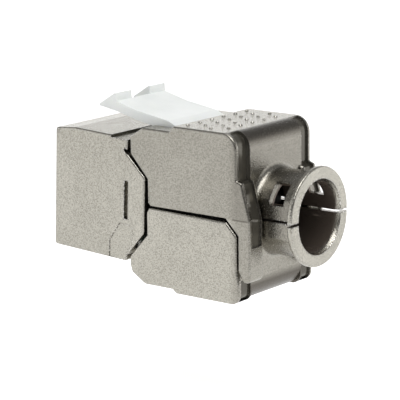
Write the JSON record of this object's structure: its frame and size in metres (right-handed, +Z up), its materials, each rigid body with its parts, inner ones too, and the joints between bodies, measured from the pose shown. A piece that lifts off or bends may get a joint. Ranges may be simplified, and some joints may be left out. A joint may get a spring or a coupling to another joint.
{
  "type": "shielded keystone jack",
  "caption": "Shielded tool-less keystone jack: die-cast plug housing, sprung panel latch and two hinged rear covers that close around the cable with a split flanged ring.",
  "frame": {"origin": "middle of the housing's front face, at the plug port", "axes": "+Y from the plug face to the cable end, +Z up to the latch, +X across the width"},
  "size_m": [0.0144, 0.0341, 0.0217],
  "materials": {
    "housing_zinc": "satin nickel plate on a zinc die casting",
    "cover_zinc": "satin nickel plate on a zinc die casting",
    "latch_plastic": "white, slightly translucent",
    "carrier_plastic": "moulded black",
    "contact_gold": "gold plated",
    "board_laminate": "solder mask",
    "block_plastic": "moulded",
    "blade_bronze": "tin plated",
    "manager_plastic": "moulded black",
    "spring_steel": "rolled"
  },
  "bodies": {
    "jack": {"front_housing": "housing_zinc", "contact_carrier": "carrier_plastic", "circuit_board": "board_laminate", "upper_terminal_block": "block_plastic", "lower_terminal_block": "block_plastic", "wire_manager": "manager_plastic", "shield_spring_left": "spring_steel", "shield_spring_right": "spring_steel", "port_contact_1": "contact_gold", "port_contact_2": "contact_gold", "port_contact_3": "contact_gold", "port_contact_4": "contact_gold", "port_contact_5": "contact_gold", "port_contact_6": "contact_gold", "port_contact_7": "contact_gold", "port_contact_8": "contact_gold", "terminal_blade_1": "blade_bronze", "terminal_blade_2": "blade_bronze", "terminal_blade_3": "blade_bronze", "terminal_blade_4": "blade_bronze", "terminal_blade_5": "blade_bronze", "terminal_blade_6": "blade_bronze", "terminal_blade_7": "blade_bronze", "terminal_blade_8": "blade_bronze"},
    "latch": {"latch_clip": "latch_plastic"},
    "upper_jaw": {"upper_cover": "cover_zinc"},
    "lower_jaw": {"lower_cover": "cover_zinc"}
  },
  "joints": [
    {"name": "latch_press", "type": "hinge", "parent": "jack", "child": "latch", "pos_m": [0, 0.01615, 0.00775], "axis": [1, 0, 0], "range_deg": [0, 8], "stiffness_Nm_per_rad": 0.2},
    {"name": "upper_cover_hinge", "type": "hinge", "parent": "jack", "child": "upper_jaw", "pos_m": [0, 0.01255, 0.007], "axis": [1, 0, 0], "range_deg": [0, 55]},
    {"name": "lower_cover_hinge", "type": "hinge", "parent": "jack", "child": "lower_jaw", "pos_m": [0, 0.013, -0.00734], "axis": [1, 0, 0], "range_deg": [-55, 0]}
  ],
  "couplings": [
    {"joint": "lower_cover_hinge", "follows": "upper_cover_hinge", "ratio": -1}
  ]
}
